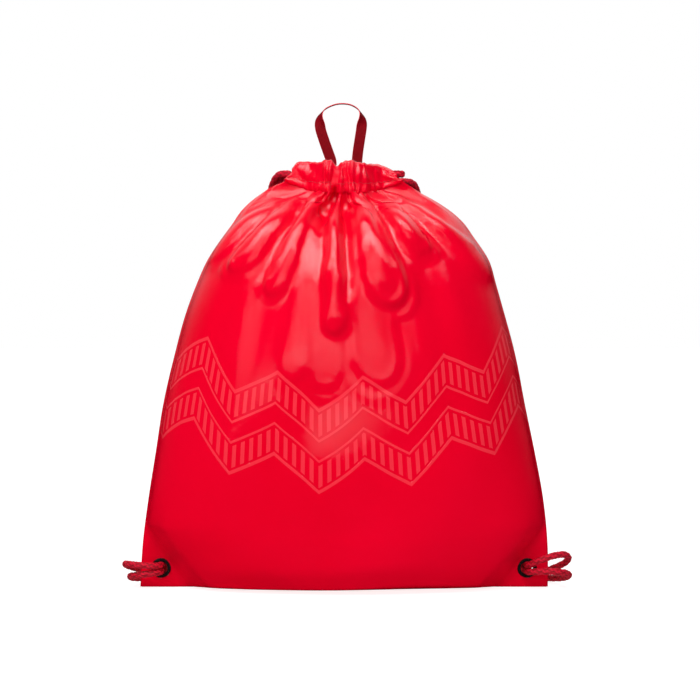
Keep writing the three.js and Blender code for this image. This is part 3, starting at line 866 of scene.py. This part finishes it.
def creases(x, z, wobble):
    """Long shallow creases that run down from between the folds, and the fabric's unevenness."""
    fade = smoothstep(z, 0.12, 0.25)
    fan = x / (1.32 - 2.6 * np.maximum(z - 0.12, 0))
    wide_pitch, narrow_pitch = 0.047, 0.029
    lines = np.sin(2 * math.pi * fan / wide_pitch + wobble)
    lines = lines + 0.6 * np.sin(2 * math.pi * fan / narrow_pitch + 2.3 * wobble)
    broad = np.sin(x * 31 + wobble) * np.sin(z * 23 + 1.3 * wobble)
    broad = broad + 0.5 * np.sin(x * 57 - z * 44 + wobble)
    edge = 1 - smoothstep(np.abs(x), 0.10, 0.16)
    return 0.0007 * lines * fade + 0.0012 * broad * edge


def outward(grid):
    """The direction out of the cloth at each point of a side that faces the front."""
    across = np.gradient(grid, axis=0)
    up = np.gradient(grid, axis=1)
    normal = np.cross(across, up)
    return normal / np.maximum(np.linalg.norm(normal, axis=2), 1e-9)[..., None]


def relax(grid, rounds, held):
    """Evens the cloth out, but for what is held."""
    grid = grid.copy()
    for _ in range(rounds):
        mean = grid.copy()
        mean[1:-1, 1:-1] = (grid[2:, 1:-1] + grid[:-2, 1:-1] + grid[1:-1, 2:] + grid[1:-1, :-2]) / 4
        grid += (mean - grid) * (0.5 * (1 - held))[..., None]
    return grid


def folded_side(folds, gathers, valleys, wobble):
    """One side of the sack with its folds and creases, facing the front."""
    grid = sack_side(gathers)
    x, y, z = grid[..., 0], grid[..., 1], grid[..., 2]
    inset = np.abs(x) - (0.165 - 0.6 * np.maximum(z - 0.15, 0))
    body = (1 - smoothstep(inset, -0.015, 0.0)) * smoothstep(z, 0.004, 0.03)
    height = fold_height(x, z, folds) - crease_depth(x, z, valleys)
    height = height * smoothstep(-y, 0.002, 0.02) + creases(x, z, wobble) * body
    below = casing_foot(x) - z
    height = height * smoothstep(below, 0.0, 0.010)
    neck_x = grid[:, -1, 0][:, None] * np.ones_like(x)
    small = drawn_height(neck_x, gathers) * smoothstep(below, 0.0, 0.004)
    small = small * (1 - smoothstep(below, 0.004, 0.030))
    height = height + 0.8 * small
    grid = grid + outward(grid) * height[..., None]
    held = np.zeros(x.shape)
    held[:, -1] = 1
    held[:, 0] = 1
    held[[0, -1], :] = 1
    return relax(grid, 1, held)


def side_piece(name, grid, material, front):
    """A panel of the sack from its grid of points."""
    columns, rows = grid.shape[:2]
    points = grid if front else grid * (1, -1, 1)
    faces = grid_faces(numbered(grid), flip=not front)
    piece = make_mesh(name, points.reshape(-1, 3), faces, material)
    across = np.linspace(-CUT_HALF_WIDTH, CUT_HALF_WIDTH, columns)
    up = np.linspace(0, PANEL_HEIGHT, rows)
    flat = np.stack(np.meshgrid(across, up, indexing="ij"), axis=-1)
    write_uv(piece, flat.reshape(-1, 2))
    add_subdivision(piece).boundary_smooth = "PRESERVE_CORNERS"
    apply_modifiers(piece)
    cut_eyelet_holes(piece)
    add_thickness(piece)
    apply_modifiers(piece)
    return piece


def cut_eyelet_holes(piece):
    """Takes the cloth away where the eyelets go through, under their flanges."""
    radius = 0.0069

    def in_a_hole(face):
        place = face.calc_center_median().xz
        return min(math.dist(place, (side * EYELET_X, EYELET_Z)) for side in (-1, 1)) < radius

    cut = bmesh.new()
    cut.from_mesh(piece.data)
    inside = [face for face in cut.faces if in_a_hole(face)]
    bmesh.ops.delete(cut, geom=inside, context="FACES")
    cut.to_mesh(piece.data)
    cut.free()


FRONT_WOBBLE = 0.4  # sets where the shallow creases lie, so that the sides differ
BACK_WOBBLE = 1.9


def make_panels():
    for name, folds, gathers, valleys, material, front, wobble in (
        ("front", FRONT_FOLDS, FRONT_GATHERS, FRONT_CREASES, PRINTED_FABRIC, True, FRONT_WOBBLE),
        ("back", BACK_FOLDS, BACK_GATHERS, BACK_CREASES, PLAIN_FABRIC, False, BACK_WOBBLE),
    ):
        grid = folded_side(folds, gathers, valleys, wobble)
        piece = side_piece(f"{name}_panel_fabric", grid, material, front)
        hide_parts(f"{name}_panel")
        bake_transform(piece)


make_panels()


def make_side_overlocks():
    """The overlocked edges of the two panels, between them at each side."""
    for name, side in (("left_side_overlock", -1), ("right_side_overlock", 1)):
        low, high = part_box(name)
        z = np.linspace(low.z, high.z, 120)
        edge = (reach_left if side < 0 else reach_right)(z) - 0.0004
        stitch_pitch = 0.0028
        loops = 0.00025 * np.sin(2 * math.pi * z / stitch_pitch)
        rows = [
            (edge + loops, 0.0),
            (edge - 0.0006, 0.00055),
            (edge - 0.004, 0.0005),
            (edge - 0.008, 0.0004),
        ]
        rows += [(x, -y) for x, y in rows[:0:-1]]
        grid = np.array([np.stack([side * x, np.full_like(z, y), z], axis=1) for x, y in rows])
        faces = tube_faces(numbered(grid), flip=side < 0)
        piece = make_mesh(name + "_edge", grid.reshape(-1, 3), faces, OVERLOCK)
        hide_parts(name)
        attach(piece, "bag")


make_side_overlocks()


def make_corner_patches():
    """The cloth patch inside each flat corner, with a round hole for the eyelet."""
    for name, side in (("left_corner_patch", -1), ("right_corner_patch", 1)):
        low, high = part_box(name)
        z = np.array([low.z, 0.012, 0.024, 0.036, 0.048, high.z])
        edge = (reach_left if side < 0 else reach_right)(z) - 0.0006
        inner = min(abs(low.x), abs(high.x))
        outline = [*zip(edge, z), (edge[-1] - 0.006, high.z), (inner, 0.009), (inner, low.z)]
        centre = np.array([EYELET_X, EYELET_Z])
        rays = np.linspace(0, 2 * math.pi, 72, endpoint=False)
        rim = np.array([
            centre + reach_of(outline, centre, ray) * np.array([math.cos(ray), math.sin(ray)])
            for ray in rays
        ])
        hole_radius = 0.0062
        hole = centre + hole_radius * np.stack([np.cos(rays), np.sin(rays)], axis=1)
        half = 0.0004
        rings = [(hole, half), (hole + (rim - hole) * 0.5, half + 0.0001), (rim, half * 0.8)]
        rings += [(flat, -y) for flat, y in rings[::-1]] + [rings[0]]
        grid = np.array([[(side * x, y, z) for x, z in flat] for flat, y in rings[:-1]])
        index = numbered(grid)
        index = np.concatenate([index, index[:1]])
        faces = grid_faces(index.T, closed=True, flip=side < 0)
        piece = make_mesh(name + "_cloth", grid.reshape(-1, 3), faces, OVERLOCK)
        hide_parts(name)
        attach(piece, "bag")


def reach_of(outline, centre, ray):
    """How far a ray from the centre goes before it meets the outline."""
    direction = np.array([math.cos(ray), math.sin(ray)])
    best = 1.0
    for a, b in zip(outline, outline[1:] + outline[:1]):
        a, b = np.array(a), np.array(b)
        cross = direction[0] * (b - a)[1] - direction[1] * (b - a)[0]
        if abs(cross) < 1e-12:
            continue
        t = ((a - centre)[0] * (b - a)[1] - (a - centre)[1] * (b - a)[0]) / cross
        u = ((a - centre)[0] * direction[1] - (a - centre)[1] * direction[0]) / cross
        if t > 0 and -1e-9 <= u <= 1 + 1e-9:
            best = min(best, t)
    return best


make_corner_patches()


# ---- The casings ---------------------------------------------------------------------------------


def casing_top(x, front):
    """The height of the casing's folded edge, which sinks at the ends and puckers in the middle."""
    places = [
        -NECK_HALF_WIDTH, -0.045, -0.034, -0.022, -0.014, -0.005,
        0.003, 0.012, 0.026, 0.037, 0.045, NECK_HALF_WIDTH,
    ]
    if front:
        heights = [
            0.3590, 0.3636, 0.3648, 0.3640, 0.3652, 0.3622,
            0.3650, 0.3636, 0.3622, 0.3604, 0.3575, 0.3545,
        ]
    else:
        heights = [
            0.3580, 0.3620, 0.3634, 0.3626, 0.3630, 0.3622,
            0.3636, 0.3630, 0.3640, 0.3618, 0.3590, 0.3560,
        ]
    return smooth_curve(x, places, heights)


def thread_row(name, line, out, dash, gap):
    """A row of stitches along a line on the fabric, each dash points long and gap points apart."""
    sides, radius = 6, 0.00034
    angle = np.linspace(0, 2 * math.pi, sides, endpoint=False)
    points, faces = [], []
    for start in range(2, len(line) - dash - 2, dash + gap):
        at = np.arange(start, start + dash + 1)
        arch = np.sin(math.pi * np.linspace(0, 1, len(at))) ** 0.6
        middle = line[at] + out[at] * (-0.0003 + 0.0006 * arch)[:, None]
        along = np.gradient(middle, axis=0)
        along /= np.linalg.norm(along, axis=1)[:, None]
        up = np.cross(out[at], along)
        upward = np.cos(angle)[None, :, None] * up[:, None]
        rings = middle[:, None] + radius * (
            upward + np.sin(angle)[None, :, None] * out[at][:, None]
        )
        faces.extend(tube_faces(numbered(rings).T + len(points)))
        points.extend(rings.reshape(-1, 3))
    return make_mesh(name, points, faces, THREAD)


def stitch_casing(grid, front):
    """The row of stitches that closes the casing at its foot."""
    level = 4  # the row of the casing's grid that it lies on
    out = -outward(grid)
    out *= np.where(out[:, level, 1] > 0, -1, 1)[:, None, None]
    fine = np.linspace(0, len(grid) - 1, 4 * len(grid))
    places = np.arange(len(grid))
    line = np.stack([np.interp(fine, places, grid[:, level, k]) for k in range(3)], axis=1)
    normal = np.stack([np.interp(fine, places, out[:, level, k]) for k in range(3)], axis=1)
    if not front:
        line, normal = line * (1, -1, 1), normal * (1, -1, 1)
    side = "front" if front else "back"
    piece = thread_row(side + "_casing_stitch_thread", line, normal, 6, 2)
    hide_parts(side + "_casing_stitch")
    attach(piece, side + "_lip")


def make_casings():
    """The two tunnels for the cords, up the outside, over the top and down the inside."""
    round_top = 0.0026
    for name, gathers, front, wobble in (
        ("front", FRONT_GATHERS, True, FRONT_WOBBLE),
        ("back", BACK_GATHERS, False, BACK_WOBBLE),
    ):
        columns = round(2 * CUT_HALF_WIDTH / CELL) * 2
        share = np.linspace(-1, 1, columns + 1)
        x = gathered_x(share)
        depth = mouth_depth(x)
        gather = drawn_height(x, gathers)
        slope_reach = np.sqrt(1 + (np.gradient(depth) / np.gradient(x)) ** 2)
        foot = casing_foot(x)
        top = casing_top(x, front) + 0.25 * gather
        way_round = np.linspace(0, 1, 33)
        grid = np.zeros((columns + 1, len(way_round), 3))
        for k, r in enumerate(way_round):
            turn = math.pi * float(np.clip((r - 0.40) / 0.20, 0, 1))
            climb = float(np.clip(r / 0.40, 0, 1) - np.clip((r - 0.60) / 0.40, 0, 1))
            z = foot + (top - round_top - foot) * climb + round_top * math.sin(turn)
            belly = math.sin(math.pi * min(1.0, climb * 1.02)) ** 0.6 if climb < 0.98 else 0.0
            puff = 0.0007 + 0.0042 * (math.sin(math.pi * climb * 0.86) ** 0.7 if climb > 0 else 0)
            lean = math.cos(turn) * puff
            slant = 0.0011 * np.sin(x * 260 + 5.5 * climb + wobble) * belly
            sway = 0.0008 * np.sin(x * 300 + 4 * climb)
            place = x * (1 - 0.085 * smoothstep(climb, 0, 1)) + sway
            depth = mouth_depth(place)
            foot_share = 1 - smoothstep(climb, 0, 0.35)
            outer = depth + FOOT_OFFSET * foot_share + gather * (1 - 0.3 * climb)
            grid[:, k, 0] = place
            # The cloth keeps clear of the cord inside, but for where it is sewn shut.
            room = (CORD_RADIUS + 0.0011) * slope_reach
            away = outer + slant + lean - depth
            covered = float(smoothstep(climb, 0.0, 0.22))
            clear = np.maximum(away, room * covered - 0.01 * (1 - covered))
            if turn > math.pi / 2:
                clear = np.minimum(away, -room * covered + 0.01 * (1 - covered))
            clear = away + (clear - away) * abs(math.cos(turn))
            grid[:, k, 1] = -(depth + clear)
            grid[:, k, 2] = z
        grid[:, 0, 2] -= 0.0010  # the foot laps over the panel
        stitch_casing(grid, front)
        points = grid if front else grid * (1, -1, 1)
        faces = grid_faces(numbered(grid), flip=not front)
        fabric = f"{name}_casing_fabric"
        piece = make_mesh(fabric, points.reshape(-1, 3), faces, PLAIN_FABRIC)
        up = 0.404 + 0.056 * way_round
        flat = np.stack(np.meshgrid(CUT_HALF_WIDTH * share, up, indexing="ij"), axis=-1)
        write_uv(piece, flat.reshape(-1, 2))
        add_subdivision(piece)
        add_thickness(piece)
        apply_modifiers(piece)
        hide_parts(f"{name}_casing")
        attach(piece, f"{name}_lip")


make_casings()


# ---- The hang loop -------------------------------------------------------------------------------


def make_hang_loop():
    """The ribbon's standing loop, flat on the casing at its feet and turned edge-on at its top."""
    end_low, end_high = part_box("hang_loop_left_end")
    y = (end_low.y + end_high.y) / 2
    step = 0.0008
    foot = loop_low.z
    top = loop_high.z
    line = [
        (-0.0110, foot), (-0.0113, foot + 0.004), (-0.0140, foot + 0.012),
        (-0.0175, foot + 0.022), (-0.0205, foot + 0.032), (-0.0210, foot + 0.041),
        (-0.0170, foot + 0.048), (-0.0080, top - 0.0012), (-0.0010, top - 0.0004),
        (0.0060, top - 0.0015), (0.0125, foot + 0.048), (0.0155, foot + 0.041),
        (0.0150, foot + 0.032), (0.0135, foot + 0.022), (0.0120, foot + 0.012),
        (0.0112, foot + 0.004), (0.0110, foot),
    ]
    middle = flowing_line([(x, y, z) for x, z in line], step)
    tangent = np.gradient(middle, axis=0)
    tangent /= np.linalg.norm(tangent, axis=1)[:, None]
    forward = np.array((0, 1.0, 0))
    sidelong = np.cross(tangent, forward)
    turn = (math.pi / 2) * smoothstep(middle[:, 2], foot + 0.030, foot + 0.0495)
    wide = sidelong * np.cos(turn)[:, None] + forward * np.sin(turn)[:, None]
    thin = np.cross(tangent, wide)
    half_thick = 0.00045
    across = np.linspace(-1, 1, 9)
    outline = [(a, 1) for a in across] + [(a, -1) for a in across[::-1]]
    grid = np.array([
        middle + wide * (w * RIBBON_HALF_WIDTH) + thin * (t * half_thick * (1 - 0.5 * abs(w) ** 6))
        for w, t in outline
    ])
    faces = tube_faces(numbered(grid))
    piece = make_mesh("hang_loop_ribbon", grid.reshape(-1, 3), faces, RIBBON)
    along = np.arange(grid.shape[1]) * step
    sideways = np.array([w * RIBBON_HALF_WIDTH for w, _ in outline])
    flat = np.stack(np.broadcast_arrays(sideways[:, None], along[None]), axis=-1)
    write_uv(piece, flat.reshape(-1, 2))
    select_only(piece)
    bpy.ops.object.mode_set(mode="EDIT")
    bpy.ops.mesh.select_all(action="SELECT")
    bpy.ops.mesh.normals_make_consistent(inside=False)
    bpy.ops.object.mode_set(mode="OBJECT")
    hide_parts("hang_loop")
    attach(piece, "loop")


make_hang_loop()


def make_loop_ends():
    """The ribbon's two ends on the back casing, each held by a bar tack."""
    for side in ("left", "right"):
        low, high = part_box(f"hang_loop_{side}_end")
        middle = np.array((low + high) / 2)
        z = np.linspace(low.z, high.z, 26)
        x = np.linspace(-1, 1, 13)
        half_thick = 0.0005
        face = 0.0003 * np.sin(z * 700)[None] - 0.0004 * np.abs(x[:, None]) ** 3
        wide = middle[0] + RIBBON_HALF_WIDTH * x[:, None]
        front = np.stack(
            np.broadcast_arrays(wide, middle[1] + half_thick + face, z[None]), axis=-1
        )
        back = front[::-1] - (0, 2 * half_thick, 0)
        grid = np.concatenate([front, back])
        faces = tube_faces(numbered(grid), flip=True)
        points = grid.reshape(-1, 3)
        piece = make_mesh(f"hang_loop_{side}_end_ribbon", points, faces, RIBBON)
        write_uv(piece, points[:, [0, 2]] - (middle[0], 0))
        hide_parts(f"hang_loop_{side}_end")
        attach(piece, "back_lip")
        low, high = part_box(f"hang_loop_{side}_tack")
        steps, half_tack = 17, 0.0042
        zigzag = []
        for k in range(steps + 1):
            tack_x = middle[0] + (half_tack if k % 2 else -half_tack)
            zigzag.append((tack_x, low.y, low.z + (high.z - low.z) * k / steps))
        fine = []
        for a, b in zip(zigzag, zigzag[1:]):
            for t in np.linspace(0, 1, 8, endpoint=False):
                bow = 0.0004 * math.sin(math.pi * t)
                fine.append([a[k] + (b[k] - a[k]) * t + (bow if k == 1 else 0) for k in range(3)])
        fine = np.array(fine)
        out = np.tile((0.0, 1.0, 0.0), (len(fine), 1))
        piece = thread_row(f"hang_loop_{side}_tack_thread", fine, out, 7, 1)
        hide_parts(f"hang_loop_{side}_tack")
        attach(piece, "back_lip")


make_loop_ends()


# ---- Materials of the pieces kept from the frame -------------------------------------------------


def dress(names, material):
    """Gives nodes of the frame a finish."""
    for name in names:
        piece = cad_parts[name]
        piece.data.materials.clear()
        piece.data.materials.append(material)


EYELET_PARTS = ["left_eyelet", "right_eyelet", "left_eyelet_washer", "right_eyelet_washer"]
dress(EYELET_PARTS, ENAMEL)
dress([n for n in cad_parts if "_run" in n], CORD)
dress(["bottom_overlock"], OVERLOCK)


# ---- Floor, light and backdrop -------------------------------------------------------------------


def make_floor():
    """A pale floor with a glow of its own, so that the bag's shadow on it stays light."""
    seen_glow, fill_glow = 0.86, 0.45
    bpy.ops.mesh.primitive_plane_add(size=16)
    floor = bpy.context.object
    floor.name = "floor"
    material, tree, shader = new_material("pale_floor", (0.4, 0.4, 0.4), 0.3)
    shader.inputs["Emission Color"].default_value = (1, 1, 1, 1)
    rays = node(tree, "ShaderNodeLightPath")
    glow = maths(tree, "MULTIPLY", rays.outputs["Is Camera Ray"], seen_glow)
    fill = maths(tree, "MULTIPLY", rays.outputs["Is Diffuse Ray"], fill_glow)
    glow = maths(tree, "ADD", glow, fill)
    tree.links.new(glow, shader.inputs["Emission Strength"])
    floor.data.materials.append(material)
    floor.visible_glossy = False


def make_light(name, place, size, power, mirrored=True):
    """A softbox aimed at the middle of the bag. Where it isn't mirrored, gloss doesn't show it."""
    aim = Vector((0, 0, 0.2))
    data = bpy.data.lights.new(name, "AREA")
    data.shape = "RECTANGLE"
    data.size, data.size_y = size
    data.energy = power
    light = bpy.data.objects.new(name, data)
    scene.collection.objects.link(light)
    light.location = place
    light.visible_glossy = mirrored
    light.rotation_euler = (aim - Vector(place)).to_track_quat("-Z", "Y").to_euler()


def make_world():
    """White to the camera, soft light all round, and in the gloss a glow high up behind the bag."""
    fill_strength, gloss_strength, gloss_height = 0.14, 4.5, 0.12
    world = bpy.data.worlds.new("studio")
    scene.world = world
    world.use_nodes = True
    tree = world.node_tree
    rays = node(tree, "ShaderNodeLightPath")
    split = split_of(tree, node(tree, "ShaderNodeTexCoord").outputs["Generated"])
    rise = maths(tree, "MAXIMUM", maths(tree, "SUBTRACT", split["Z"], gloss_height), 0.0)
    glow = maths(tree, "MULTIPLY", rise, gloss_strength)
    behind = maths(tree, "MULTIPLY", maths(tree, "MAXIMUM", split["Y"], 0.0), glow)
    seen = rays.outputs["Is Camera Ray"]
    fill = maths(tree, "MULTIPLY", rays.outputs["Is Diffuse Ray"], fill_strength)
    gloss = maths(tree, "MULTIPLY", rays.outputs["Is Glossy Ray"], behind)
    strength = maths(tree, "ADD", maths(tree, "ADD", seen, fill), gloss)
    background = tree.nodes["Background"]
    background.inputs["Color"].default_value = (1, 1, 1, 1)
    tree.links.new(strength, background.inputs["Strength"])


make_floor()
make_world()
make_light("overhead_softbox", (-0.25, -0.95, 1.35), (2.2, 0.34), 27.5)
make_light("front_softbox", (-0.45, -2.3, 0.80), (1.2, 0.42), 7)
make_light("back_softbox", (0.5, 2.3, 1.0), (1.5, 0.8), 14, mirrored=False)
